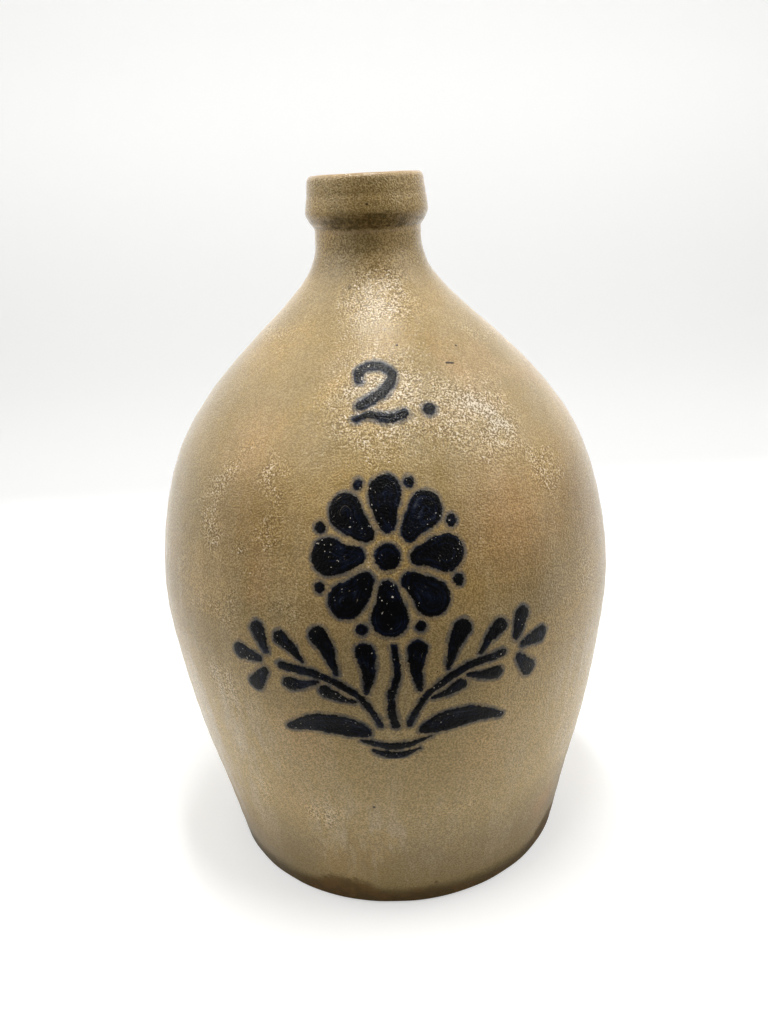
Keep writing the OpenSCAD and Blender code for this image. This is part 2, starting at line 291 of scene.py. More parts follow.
# materials and the air, as trees of nodes
class Recipe:
    def __init__(self, owner):
        owner.use_nodes = True
        self.owner = owner
        self.nodes, self.links = owner.node_tree.nodes, owner.node_tree.links
        self.shader = self.nodes.get("Principled BSDF")
        self.coords = self.add("ShaderNodeTexCoord").outputs["Object"]

    def add(self, kind, inputs=None, **settings):
        made = self.nodes.new(kind)
        for key, value in settings.items():
            setattr(made, key, value)
        self.feed(made, inputs or {})
        return made

    # a value is set on the socket, and another node's output is linked to it
    def give(self, socket, value):
        if isinstance(value, bpy.types.NodeSocket):
            self.links.new(value, socket)
        else:
            socket.default_value = (*value, 1) if socket.type == "RGBA" else value

    def feed(self, node, inputs):
        for key, value in inputs.items():
            self.give(node.inputs[key], value)

    def noise(self, scale, detail=2, rough=0.5, twist=0, vector=None):
        made = self.add("ShaderNodeTexNoise", {"Scale": scale, "Detail": detail,
                        "Roughness": rough, "Distortion": twist,
                        "Vector": vector or self.coords})
        return made.outputs["Fac"]

    def stretched(self, scale, place):
        made = self.add("ShaderNodeMapping", {"Vector": self.coords, "Scale": scale,
                        "Location": place})
        return made.outputs[0]

    # noise with a scale for each axis, moved to a place of its own
    def streaks(self, scale, place, detail, rough, twist=0):
        return self.noise(1, detail, rough, twist, self.stretched(scale, place))

    def patchy(self, noise, fade):
        return self.ease(self.noise(*noise), *fade)

    # fine noise of little detail
    def pricks(self, scale, place):
        return self.noise(scale, 1, vector=self.stretched((1, 1, 1), place))

    # noise about zero, as far as its sway either way
    def sway(self, reach, *noise):
        return self.line(self.noise(*noise), 2 * reach, -reach)

    def calc(self, kind, a, b=0, c=0):
        return self.add("ShaderNodeMath", {0: a, 1: b, 2: c}, operation=kind).outputs[0]

    def plus(self, a, b):
        return self.calc("ADD", a, b)

    def minus(self, a, b):
        return self.calc("SUBTRACT", a, b)

    def times(self, a, b):
        return self.calc("MULTIPLY", a, b)

    def most(self, a, b):
        return self.calc("MAXIMUM", a, b)

    # straight line: a value times its slope, plus a start
    def line(self, value, slope, start):
        return self.calc("MULTIPLY_ADD", value, slope, start)

    # how far a value is from a level, either way
    def apart(self, value, level):
        return self.calc("ABSOLUTE", self.minus(value, level))

    # smooth step between two values
    def ease(self, value, low, high, start=0, end=1, kind="SMOOTHSTEP"):
        made = self.add("ShaderNodeMapRange", {"Value": value, "From Min": low, "From Max": high,
                        "To Min": start, "To Max": end}, interpolation_type=kind)
        return made.outputs[0]

    def mix(self, share, a, b, kind="MIX"):
        inputs = {0: share, 6: a, 7: b}
        return self.add("ShaderNodeMix", inputs, data_type="RGBA", blend_type=kind).outputs[2]

    # colour laid over another, as far as a value's fade says
    def lay(self, under, value, colour, *fade):
        return self.mix(self.ease(value, *fade), under, colour)

    def distance(self, azimuth, level):
        made = self.add("ShaderNodeVectorMath", {0: self.coords, 1: spotOnWall(azimuth, level)},
                        operation="DISTANCE")
        return made.outputs["Value"]

    # strength within the inner distance from a place on the wall, easing to another past the outer
    def near(self, azimuth, level, inner, outer, strength=1, beyond=0):
        return self.ease(self.distance(azimuth, level), inner, outer, strength, beyond)

    # patches added to a field: each is full within a share of its reach, and ends at its reach
    def patches(self, field, places, share, unit=1):
        for azimuth, level, reach, strength in places:
            patch = self.near(azimuth, level, share * reach * mm, reach * mm, strength * unit)
            field = self.plus(field, patch)
        return field

    def bump(self, height, distance, strength, normal=None):
        made = self.add("ShaderNodeBump", {"Height": height, "Distance": distance,
                        "Strength": strength})
        if normal is not None:
            self.give(made.inputs["Normal"], normal)
        return made.outputs[0]


# salt glaze over tan clay. In its settings a noise is a scale, a detail, a roughness and a twist,
# or a scale for each axis and a place before the rest. A fade runs between two values, from one
# strength to another, and stands behind its colour. A patch is an azimuth from the front in
# degrees, a height and a reach in millimetres, and a strength. A list of patches stands before the
# share of the reach that they are full within

# clouds of warm and grey tan, olive drifts, an orange blush, a pale band over the foot that is
# partly clay colour and partly painted light thrown up from the floor, and places where the clay is
# toasted browner or flashed orange; the toasted places on the front of the neck and collar are
# painted dark reflection of the room in front
clouds = {
    "warm": (0.48, 0.318, 0.12),
    "grey": ((0.375, 0.272, 0.126), 0.36, 0.64),
    "olive": ((0.335, 0.225, 0.07), 0.4, 0.72, 0, 0.5),
    "blush": (0.58, 0.325, 0.13),
    "toastAndDarkReflection": (0.3, 0.185, 0.06),
    # pale band colour: partly clay colour, partly painted light thrown up from the floor
    "paleAndBounce": (0.72, 0.52, 0.23),
    "cloud": (13, 3, 0.55, 0.4),
    "drift": ((34, 34, 11), (3, 1, 0), 3, 0.6),
    "flush": ((16, 16, 9), (7, 2, 5), 2, 0.5),
    "blushFade": (0.56, 0.74, 0, 0.6),
    "paleAndBounceFades": ((28 * mm, 72 * mm), (95 * mm, 165 * mm, 0.72, 0)),
    "wander": 20 * mm,
    # toasted places on the body; the three at -4 and -2 degrees on the front of the neck and collar
    # are painted dark reflection of the room in front
    "toastAndDarkReflectionPlaces": [(-34, 211, 42, 0.65), (24, 194, 34, 0.4), (56, 200, 40, 0.85),
                      (36, 180, 32, 0.5), (-4, 335, 12, 0.34), (-4, 322, 12, 0.28),
                      (-2, 308, 12, 0.28)],
    "flashed": [(-21, 108, 26, 0.8), (22, 96, 28, 0.7), (-26, 72, 22, 0.5), (50, 34, 20, 0.5),
                (30, 208, 36, 0.5), (-38, 238, 26, 0.22)],
}


# colour laid in patches in their places, whose edges wander with a pattern: toasted and flashed
# clay, and painted dark reflection on the front of the collar
def patchedColour(r, clay, places, colour, pattern):
    wander = clouds["wander"]
    for azimuth, level, reach, strength in places:
        away = r.line(pattern, wander, r.distance(azimuth, level))
        share = r.ease(away, wander / 2, reach * mm + wander / 2, strength, 0)
        clay = r.mix(share, clay, colour)
    return clay


def cloudedClay(r, height, cloud):
    drift = r.streaks(*clouds["drift"])
    clay = r.lay(clouds["warm"], cloud, *clouds["grey"])
    clay = r.lay(clay, drift, *clouds["olive"])
    clay = r.lay(clay, r.streaks(*clouds["flush"]), clouds["blush"], *clouds["blushFade"])
    # toasted places, and painted dark reflection on the front of the collar
    clay = patchedColour(r, clay, clouds["toastAndDarkReflectionPlaces"], clouds["toastAndDarkReflection"], cloud)
    clay = patchedColour(r, clay, clouds["flashed"], clouds["blush"], drift)
    # painted light: the pale band over the foot is partly clay colour and partly light thrown up
    # from the floor
    rise, fall = clouds["paleAndBounceFades"]
    paleAndBounce = r.times(r.ease(height, *rise), r.ease(height, *fall))
    return r.mix(paleAndBounce, clay, clouds["paleAndBounce"])


# salt: small patches in a cloud, heavy ones in their places, a broken ring round a toasted place,
# and pale threads where it was dragged down the wall
salt = {
    "colour": (0.75, 0.63, 0.44),
    "spread": ((21, 4, 0.62, 0.6), (0.53, 0.72, 0, 0.5)),
    "heavy": ([(2, 254, 40, 0.9), (6, 292, 27, 0.9), (31, 243, 30, 0.9), (46, 219, 18, 0.8),
               (-43, 130, 18, 0.6), (-20, 62, 16, 0.6), (54, 167, 20, 0.5)], 0.25),
    "ringPlace": (-36, 214),
    "ringRadius": 20 * mm,
    "ringFade": (1.3 * mm, 13 * mm, 0.75, 0),
    "broken": ((75, 2, 0.6), (0.42, 0.58, 0.15, 1)),
    "ragged": ((110, 3, 0.6), (0.3, 0.6, 0.45, 1)),
    "threads": ((170, 170, 16), (4, 8, 2), 4, 0.65, 0.3),
    "bands": ((45, 45, 12), (1, 6, 3), 3, 0.6, 0.5),
    "threadFade": (0.88, 1.24, 0, 0.85),
    "dragFades": ((4 * mm, 24 * mm), (60 * mm, 140 * mm, 0.22, 0.1)),
    "dragged": ([(-50, 100, 52, 0.75), (-66, 60, 50, 0.7), (-72, 150, 50, 0.5), (58, 110, 46, 0.55),
                 (70, 70, 50, 0.6), (-12, 48, 40, 0.3), (150, 120, 90, 0.5)], 0.2),
}


def draggedSalt(r, clay, height):
    rise, fall = salt["dragFades"]
    dragged = r.times(r.ease(height, *rise), r.ease(height, *fall))
    dragged = r.patches(dragged, *salt["dragged"])
    threads = r.plus(r.streaks(*salt["threads"]), r.streaks(*salt["bands"]))
    threads = r.ease(threads, *salt["threadFade"])
    return r.mix(r.times(threads, dragged), clay, salt["colour"])


def saltWeight(r):
    salted = r.patches(r.patchy(*salt["spread"]), *salt["heavy"])
    fromRing = r.apart(r.distance(*salt["ringPlace"]), salt["ringRadius"])
    ring = r.ease(fromRing, *salt["ringFade"])
    salted = r.line(ring, r.patchy(*salt["broken"]), salted)
    return r.times(salted, r.patchy(*salt["ragged"]))


# orange peel: the pits are browner and the tops lighter, painted shade and painted highlight of the
# ripples, more so where the salt is heavy, low on the wall and on the neck. Salt lightens the clay
# as well, which on the front of the shoulder is partly painted highlight. The highest tops turn to
# cream, painted glints, and more of them where there is more salt
peels = {
    "glintsAndPins": ((0.89, 0.81, 0.68), -0.03, 0.09, 0, 0.62),
    "noise": (1280, 1.4, 0.5, 0.5),
    "tops": (0.38, 0.62, -0.5, 0.5),
    "lowFade": (180 * mm, 235 * mm, 0.17, 0),
    "neckFade": (296 * mm, 312 * mm, 0, 0.34),
    "mottle": (0, 1, 0.38, 1.4),
    "tint": (0.92, 1, 1.15),
    "lighter": 0.12,
    "limit": (-0.21, 0.735),
}


def peeled(r, clay, height, salted, peel):
    lowAndNeck = [r.ease(height, *peels[key]) for key in ("lowFade", "neckFade")]
    swing = r.plus(r.most(*lowAndNeck), r.ease(salted, *peels["mottle"]))
    # painted shade in the pits and painted highlight on the tops of the ripples
    swing = r.times(r.ease(peel, *peels["tops"]), swing)
    # the salt lightens the clay, partly painted highlight on the shoulder
    level = r.line(salted, peels["lighter"], 1)
    tint = {channel: r.line(swing, share, level) for channel, share in enumerate(peels["tint"])}
    clay = r.mix(1, clay, r.add("ShaderNodeCombineXYZ", tint).outputs[0], "MULTIPLY")
    # painted glints: the highest tops of the peel turn cream
    above = r.minus(peel, r.line(salted, *peels["limit"]))
    return r.lay(clay, above, *peels["glintsAndPins"])


# pepper: fine brown pits in patches, closer together on the collar and at the foot
pepper = {
    "pit": (0.13, 0.075, 0.028),
    "grains": (1350, (0.3, 0.9, 0.1)),
    "grainFade": (0.62, 0.74),
    "patches": ((26, 2), (0.42, 0.6, 0.12, 0.5)),
    "footFade": (4 * mm, 30 * mm, 0.5, 0),
    "closer": 0.4,
}


def peppered(r, clay, height, onCollar):
    closer = r.most(onCollar, r.ease(height, *pepper["footFade"]))
    share = r.line(closer, pepper["closer"], r.patchy(*pepper["patches"]))
    grains = r.ease(r.pricks(*pepper["grains"]), *pepper["grainFade"])
    return r.mix(r.times(grains, share), clay, pepper["pit"])


# iron: rare specks in the middle of cells, and larger spots in their places, with a short dash of
# five. A spot is an azimuth, a height, a radius and a strength
iron = {
    "colour": (0.03, 0.018, 0.01),
    "strength": 0.95,
    "cells": 105,
    "sizes": (0.45, 1, 0, 0.036),
    "speckFade": (0, 0.01),
    "spotInner": 0.8,
    "spotOuter": 1.2,
    "spots": [(0.4, 331.8, 0.65, 1), (37.6, 271, 0.6, 1), (10, 274, 0.6, 1), (-6.4, 71, 0.7, 1),
              (10, 13, 0.9, 1), (-17.5, 297, 1.3, 0.5), (28.4, 265.5, 0.6, 1),
              (29.1, 265.4, 0.6, 1), (29.8, 265.3, 0.6, 1), (30.5, 265.2, 0.6, 1),
              (31.2, 265.1, 0.5, 1)],
}


def ironSpecks(r):
    cells = r.add("ShaderNodeTexVoronoi", {"Scale": iron["cells"], "Vector": r.coords})
    chance = r.add("ShaderNodeSeparateColor", {0: cells.outputs["Color"]}).outputs[0]
    size = r.ease(chance, *iron["sizes"])
    speck = r.ease(r.minus(size, cells.outputs["Distance"]), *iron["speckFade"])
    for azimuth, level, radius, strength in iron["spots"]:
        inner = iron["spotInner"] * strength * radius * mm
        spot = r.near(azimuth, level, inner, iron["spotOuter"] * radius * mm, strength)
        speck = r.most(speck, spot)
    return speck


# collar: a pale worn lip, a darker collar that is partly smoke and partly painted shade, and glaze
# pooled dark in the wavy crease under it, most at the front, partly painted shade, with a thin line
# of painted shade along the crease itself
neck = {
    "lip": ((0.55, 0.38, 0.22), jugHeight - 2.6 * mm, jugHeight - 0.9 * mm, 0, 0.55),
    "smokeAndShade": (0.21, 0.142, 0.034),
    "pooledAndShaded": (0.072, 0.05, 0.012),
    "collarFade": (creaseZ - 1 * mm, creaseZ + 4 * mm),
    "smokeAndShadeFade": (jugHeight - 9 * mm, jugHeight - 3 * mm, 0.24, 0.05),
    "runs": ((150, 150, 420), (2, 5, 1), 4, 0.7),
    "runReach": (14 * mm, -4.5 * mm),
    "runsFront": (0, 324, 12 * mm, 26 * mm, 1, 0.1),
    "fray": (2.5 * mm, 480, 2),
    "poolAbove": 2.4 * mm,
    "poolFade": (-1.8 * mm, 1.6 * mm, 0, 0.75),
    "patchy": ((560, 3, 0.7), (0.36, 0.6, 0.35, 1)),
    "lineFade": (0.2 * mm, 1 * mm, 0.3, 0),
    "wornBelow": 2 * mm,
    "wornFade": (0.2 * mm, 1.1 * mm, 0.35, 0),
}


def glazedCollar(r, clay, height, onCollar):
    clay = r.lay(clay, height, *neck["lip"])
    # painted shade over the collar, partly smoke: darker below the rim
    smokeAndShade = r.times(onCollar, r.ease(height, *neck["smokeAndShadeFade"]))
    clay = r.mix(smokeAndShade, clay, neck["smokeAndShade"])
    runs = r.line(r.streaks(*neck["runs"]), *neck["runReach"])
    runs = r.plus(r.times(r.near(*neck["runsFront"]), runs), r.sway(*neck["fray"]))
    # glaze pooled in the crease, partly painted shade
    fromPool = r.apart(height, creaseZ + neck["poolAbove"])
    pooledAndShaded = r.ease(r.minus(runs, fromPool), *neck["poolFade"])
    pooledAndShaded = r.times(pooledAndShaded, r.patchy(*neck["patchy"]))
    clay = r.mix(pooledAndShaded, clay, neck["pooledAndShaded"])
    # painted shade: a thin dark line along the crease
    clay = r.lay(clay, r.apart(height, creaseZ), neck["pooledAndShaded"], *neck["lineFade"])
    fromWorn = r.apart(height, creaseZ - neck["wornBelow"])
    return r.lay(clay, fromWorn, neck["lip"][0], *neck["wornFade"]), pooledAndShaded


# burnt foot: brown up to an uneven tide mark, higher in the scorched places (whose strength is a
# rise in millimetres), with rust in it, a dark hem, a patch of haze and bare clay underneath. The
# lowest 48 mm of the wall also darken towards the floor, partly smoke and partly painted shade
foot = {
    # smoke and painted shade: darker towards the floor over the lowest 48 mm
    "smokeAndShade": ((0.21, 0.142, 0.034), 0, 48 * mm, 0.72, 0),
    "hem": (0.075, 0.046, 0.008),
    "haze": (0.3, 0.24, 0.19),
    "burnt": (0.085, 0.048, 0.01),
    "rust": (0.135, 0.068, 0.016),
    "bareClay": (0.36, 0.29, 0.2),
    "tide": ((34, 34, 60), (0, 0, 0), 5, 0.7),
    "tideReach": (26 * mm, -9.5 * mm),
    "fringe": (8 * mm, 420, 4, 0.75),
    "scorched": ([(-19, 8, 34, 17), (60, 14, 30, 15), (8, 4, 26, 5), (200, 6, 40, 14),
                  (120, 6, 30, 9)], 0.1, mm),
    "burntFade": (-4 * mm, 6 * mm, 0, 0.85),
    "hemFringe": 0.6,
    "hemFade": (5 * mm, 15 * mm, 0.85, 0),
    "hazed": (-50, 16, 0, 30 * mm, 0.15),
    "rusty": ((70, 4, 0.7), (0.46, 0.6)),
    "underFade": (0.1 * mm, 0.5 * mm, 1, 0),
}


def burntFoot(r, clay, height):
    fringe = r.sway(*foot["fringe"])
    top = r.patches(fringe, *foot["scorched"])
    top = r.plus(top, r.line(r.streaks(*foot["tide"]), *foot["tideReach"]))
    burnt = r.ease(r.minus(top, height), *foot["burntFade"])
    # painted shade: the wall darkens towards the floor, partly smoke
    clay = r.lay(clay, height, *foot["smokeAndShade"])
    hem = r.ease(r.line(fringe, foot["hemFringe"], height), *foot["hemFade"])
    clay = r.mix(hem, clay, foot["hem"])
    clay = r.mix(r.near(*foot["hazed"]), clay, foot["haze"])
    rust = r.mix(r.patchy(*foot["rusty"]), foot["burnt"], foot["rust"])
    clay = r.mix(burnt, clay, rust)
    under = r.ease(height, *foot["underFade"])
    return r.mix(under, clay, foot["bareClay"]), burnt, hem, under


# blue slip under the glaze: near black where it is thick, navy and grey in streaks along the
# stroke, with slits where the nozzle skipped, pin holes and a soft halo. The piece's attributes
# say how deep inside a stroke each point lies and how far along it
paint = {
    "thin": (0.05, 0.058, 0.072),
    "navy": ((0.006, 0.009, 0.021), 0.05, 0.42),
    "thick": ((0.0028, 0.003, 0.0038), 0.38, 0.66),
    "halo": (0.092, 0.098, 0.104),
    "sheen": 0.05,
    "coat": 0.36,
    "gloss": -0.07,
    "ragged": (0.9, 800, 2, 0.6),
    "wavy": (0.6, 240, 1),
    "streakPace": 0.14,
    "streaks": (0.9, 3, 0.6, 0.3),
    "washed": (95, 3, 0.6, 0.8),
    "contrast": (1.3, -1.3),
    "slitPace": 0.4,
    "slits": (1.4, 2, 0.5, 0),
    "slitFade": (0.685, 0.735),
    "slitDepth": (0.9, 1.6, 0, 0.9),
    "slitPatches": ((210, 2), (0.46, 0.56)),
    "pins": (900, (0.7, 0.4, 0.9)),
    "pinFade": (0.7, 0.76),
    "pinDepth": (0.3, 0.9),
    "pinPatches": ((60, 2), (0.45, 0.62, 0, 0.9)),
    "haloFade": (-2.6, 0.15, 0, 0.86),
    "haloPatches": ((150, 2), (0.35, 0.6, 0.55, 1)),
    "edgeFade": (-0.15, 0.6),
}


def paintSlip(r, clay, gloss):
    depth, load, along = (r.add("ShaderNodeAttribute", attribute_name=name).outputs["Fac"]
                          for name in ("slipDepth", "slipLoad", "slipAlong"))
    edge = r.plus(depth, r.plus(r.sway(*paint["ragged"]), r.sway(*paint["wavy"])))

    # noise drawn in the stroke's own depth and length
    def inStroke(pace, noise):
        way = r.add("ShaderNodeCombineXYZ", {0: depth, 1: r.times(along, pace)}).outputs[0]
        return r.noise(*noise, way)

    streaks = inStroke(paint["streakPace"], paint["streaks"])
    strength = r.line(r.plus(streaks, r.noise(*paint["washed"])), *paint["contrast"])
    strength = r.plus(strength, load)
    blue = r.lay(paint["thin"], strength, *paint["navy"])
    blue = r.lay(blue, strength, *paint["thick"])
    slits = r.ease(inStroke(paint["slitPace"], paint["slits"]), *paint["slitFade"])
    slits = r.times(slits, r.ease(depth, *paint["slitDepth"]))
    slits = r.times(slits, r.patchy(*paint["slitPatches"]))
    pins = r.ease(r.pricks(*paint["pins"]), *paint["pinFade"])
    pins = r.times(pins, r.patchy(*paint["pinPatches"]))
    pins = r.times(pins, r.ease(depth, *paint["pinDepth"]))
    halo = r.times(r.ease(edge, *paint["haloFade"]), r.patchy(*paint["haloPatches"]))
    covered = r.minus(r.ease(edge, *paint["edgeFade"]), slits)
    painted = r.mix(covered, r.mix(halo, clay, paint["halo"]), blue)
    painted = r.mix(pins, painted, peels["glintsAndPins"][0])
    return painted, r.line(covered, paint["gloss"], gloss), covered


# the whole glaze: its gloss, a clear coat that is thicker in the wet places and lost where the
# glaze is dry, and three bumps, each a depth and a strength
glaze = {
    "cloudGloss": (0.3, 0.7, 0.36, 0.46),
    "saltGloss": 0.06,
    "burntGloss": 0.2,
    "underGloss": 0.85,
    "coat": 0.55,
    "coatRoughness": 0.05,
    "dryCoat": (-0.9, 1),
    "wet": ([(7, 290, 42, 0.38), (-2, 246, 44, 0.42), (24, 252, 34, 0.25)], 0.2),
    "sheen": 0.14,
    "sheenTint": (1, 0.88, 0.62),
    "grain": (2100, 2, 0.6),
    "peelBump": (0.36 * mm, 0.95),
    "grainBump": (0.04 * mm, 0.5),
    "ironBump": (0.2 * mm, 0.5),
}


def saltGlaze(name, slip=False):
    r = Recipe(bpy.data.materials.new(name))
    height = r.add("ShaderNodeSeparateXYZ", {0: r.coords}).outputs["Z"]
    onCollar = r.ease(height, *neck["collarFade"])
    cloud, peel = r.noise(*clouds["cloud"]), r.noise(*peels["noise"])
    salted, speck = saltWeight(r), ironSpecks(r)
    clay = draggedSalt(r, cloudedClay(r, height, cloud), height)
    clay = peeled(r, clay, height, salted, peel)
    clay = peppered(r, clay, height, onCollar)
    clay = r.mix(r.times(speck, iron["strength"]), clay, iron["colour"])
    clay, pooledAndShaded = glazedCollar(r, clay, height, onCollar)
    clay, burnt, hem, under = burntFoot(r, clay, height)

    gloss = r.line(salted, glaze["saltGloss"], r.ease(cloud, *glaze["cloudGloss"]))
    gloss = r.line(burnt, glaze["burntGloss"], gloss)
    gloss = r.most(gloss, r.times(under, glaze["underGloss"]))
    coat = r.patches(glaze["coat"], *glaze["wet"])
    if slip:
        clay, gloss, covered = paintSlip(r, clay, gloss)
        coat = r.line(covered, r.minus(paint["coat"], coat), coat)
    dry = r.most(r.most(burnt, hem), pooledAndShaded)
    coat = r.times(coat, r.line(dry, *glaze["dryCoat"]))
    normal = r.bump(peel, *glaze["peelBump"])
    normal = r.bump(r.noise(*glaze["grain"]), *glaze["grainBump"], normal)
    normal = r.bump(speck, *glaze["ironBump"], normal)
    r.feed(r.shader, {"Base Color": clay, "Roughness": gloss, "Normal": normal,
                      "Coat Normal": normal, "Coat Weight": coat,
                      "Coat Roughness": glaze["coatRoughness"],
                      "Specular IOR Level": paint["sheen"] if slip else glaze["sheen"],
                      "Specular Tint": glaze["sheenTint"]})
    return r.owner


# brown slip poured round the inside, breaking paler in thin runs: a closed skin over the slip's
# two faces, from the throat down to the floor
lining = {
    "brown": (0.06, 0.028, 0.012),
    "thin": ((0.15, 0.075, 0.03), 0.35, 0.7),
    "dark": ((0.03, 0.014, 0.008), 0.5, 0.75, 0, 0.5),
    "runs": ((60, 60, 12), (0, 0, 0), 3, 0.6),
    "pools": (90, 3, 0.6),
    "gloss": (0.3, 0.7, 0.12, 0.3),
    "skin": (380, 2),
    "skinBump": (0.2 * mm, 0.4),
    "around": 160,
    "spacing": 3 * mm,
    "gap": 0.05 * mm,
    "leastR": 1 * mm,
}


def brownSlip(name):
    r = Recipe(bpy.data.materials.new(name))
    pools = r.noise(*lining["pools"])
    brown = r.lay(lining["brown"], r.streaks(*lining["runs"]), *lining["thin"])
    brown = r.lay(brown, pools, *lining["dark"])
    r.feed(r.shader, {"Base Color": brown, "Roughness": r.ease(pools, *lining["gloss"]),
                      "Normal": r.bump(r.noise(*lining["skin"]), *lining["skinBump"])})
    return r.owner


clayGlaze = saltGlaze("saltGlazedClay")
slipGlaze = saltGlaze("cobaltUnderSaltGlaze", slip=True)
liningGlaze = brownSlip("brownSlipGlaze")
print("stage: materials made")


def finishPiece(piece, material, slot, *nodes):
    piece.data.materials.append(material)
    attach(piece, "root")
    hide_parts(*nodes)


# rows along a line of knots, as far apart as the wanted spacing says at each place
def spacedRows(radii, heights, spacing):
    walk = walkAlong(radii, heights)
    fine = np.linspace(0, walk[-1], 20000)
    fineR, fineZ = flowing(walk, radii, fine), flowing(walk, heights, fine)
    pace = np.diff(fine) / spacing(fine[1:], fineR[1:], fineZ[1:])
    pace = np.concatenate([[0], np.cumsum(pace)])
    at = np.interp(np.linspace(0, pace[-1], int(pace[-1]) + 1), pace, fine)
    return flowing(walk, radii, at), flowing(walk, heights, at), at


# body: the outline from the middle of the foot, over the rim and down to the middle of the floor,
# turned round the axis. The dents fade out over the top of the rim and under the foot
body = {
    "around": 232,
    "footSpacing": 12 * mm,
    "edgeSpacing": 0.45 * mm,
    "edgeHeight": 3 * mm,
    "edgeBreadth": 1 * mm,
    "level": 0.01 * mm,
    "wallSpacing": 1.6 * mm,
    "collarSpacing": 0.75 * mm,
    "insideSpacing": 7 * mm,
    "dentFade": (60 * mm, 89 * mm),
}


def makeBody():
    radii = np.concatenate([[poleR], outerR, innerR[::-1], [poleR]])
    heights = np.concatenate([[0], outerZ, innerZ[::-1], [innerZ[0]]])
    outsideEnd = walkAlong(radii, heights)[len(outerZ)]
    collarZ = jugHeight - wear["belowRim"]

    def spacing(s, r, z):
        outside = s < outsideEnd
        flatFoot = outside & (z < body["level"]) & (r < outerR[0] - body["edgeBreadth"])
        wanted = np.where(outside, body["wallSpacing"], body["insideSpacing"])
        wanted = np.where(z > collarZ, body["collarSpacing"], wanted)
        wanted = np.where(outside & (z < body["edgeHeight"]), body["edgeSpacing"], wanted)
        return np.where(flatFoot, body["footSpacing"], wanted)

    rowR, rowZ, at = spacedRows(radii, heights, spacing)
    angle = np.linspace(0, 2 * np.pi, body["around"], endpoint=False)[None, :]
    z = np.repeat(rowZ[:, None], body["around"], 1)
    share = ((at < outsideEnd) * ease(*body["dentFade"], rowR + rowZ))[:, None]
    radius = rowR[:, None] - share * wallDent(angle, z)
    x, y = np.cos(angle) * wall["patternR"], np.sin(angle) * wall["patternR"]
    sag = humps((x, y), *wall["rimSag"])
    z = z - sag * ease(jugHeight - wall["sagBelowRim"], jugHeight, z)
    piece = ringSkin("jugBody", turned(radius, z, angle))
    finishPiece(piece, clayGlaze, "salt_glazed_clay", "jug_body")
    print("stage: body", len(rowR), "rows")


makeBody()


def makeLining():
    clayZ, clayR = ringsOf("slip_lining", 1)
    openZ, openR = ringsOf("slip_lining", -1)
    kept = openR > lining["leastR"]
    openZ, openR = openZ[kept], openR[kept]
    radii = np.concatenate([[poleR], clayR - lining["gap"], openR[::-1], [poleR]])
    heights = np.concatenate([[clayZ[0]], clayZ, openZ[::-1], [openZ[0]]])
    rowR, rowZ, _ = spacedRows(radii, heights, lambda s, r, z: lining["spacing"])
    angle = np.linspace(0, 2 * np.pi, lining["around"], endpoint=False)[None, :]
    piece = ringSkin("slipLining", turned(rowR[:, None], rowZ[:, None], angle))
    finishPiece(piece, liningGlaze, "brown_slip", "slip_lining")
    print("stage: lining")


makeLining()


# slip decoration: the strokes of the solids, in shares of the design's height. A tail is the share
# of the width that a stroke starts with
spray = {
    "height": 119 * mm,
    "footZ": 113 * mm,
    "blossom": (0.005, 0.715),
    "petals": 8,
    "petalIn": 0.088,
    "petalOut": 0.285,
    "petalWidth": 1.5 / 8,
    "petalCurl": 7,
    "petalTail": 0.28,
    "eye": 0.1,
    "spot": 0.046,
    "stemWidth": 0.038,
    "stemTail": 0.7,
    "stem": [(0.008, 0.4), (0.018, 0.29), (-0.012, 0.17), (0.004, 0.05)],
    "sideTail": 0.75,
    "sideStem": [(0.05, 0.055), (0.125, 0.19), (0.265, 0.275), (0.425, 0.3)],
    "sideLeaves": [(0.28, 60, 0.2, 0.094), (0.515, 58, 0.195, 0.094), (0.745, 54, 0.15, 0.078),
                   (0.26, -40, 0.14, 0.07), (0.6, -44, 0.145, 0.074)],
    "leafGap": 0.036,
    "leafAhead": 0.1,
    "leafTail": 0.2,
    "bud": (0.458, 0.302),
    "budTurns": (-54, 8, 70),
    "budReach": (0.036, 0.161),
    "budWidth": 0.09,
    "budTail": 0.3,
    "lowLeaf": [(0.095, 0.025), (0.18, 0.054), (0.3, 0.062), (0.43, 0.02)],
    "lowLeafWidth": 0.095,
    "ground": [(-0.022, 0.14, 0.018), (-0.069, 0.095, 0.013)],
    "groundWidth": 0.036,
    "groundTail": 0.3,
    "across": 76 * mm,
    "up": (-12 * mm, 128 * mm),
    "seed": 41,
    "fullness": 0.54,
    "thinEdge": 0.12,
}
numeral = {
    "height": 27 * mm,
    "footZ": 248 * mm,
    "width": 0.2,
    "hook": [(-0.3, 0.66), (-0.27, 0.89), (0.03, 0.98), (0.27, 0.79), (0.14, 0.53), (-0.1, 0.34),
             (-0.3, 0.22)],
    "hookTail": 0.9,
    "foot": [(-0.36, -0.02), (-0.14, 0.085), (0.14, 0), (0.44, 0.09)],
    "footTail": 0.6,
    "stop": (0.74, 0.1),
    "stopWidth": 0.22,
    "across": 26 * mm,
    "up": (-5 * mm, 33 * mm),
    "seed": 61,
    "fullness": 0.68,
    "thinEdge": 0.5,
}
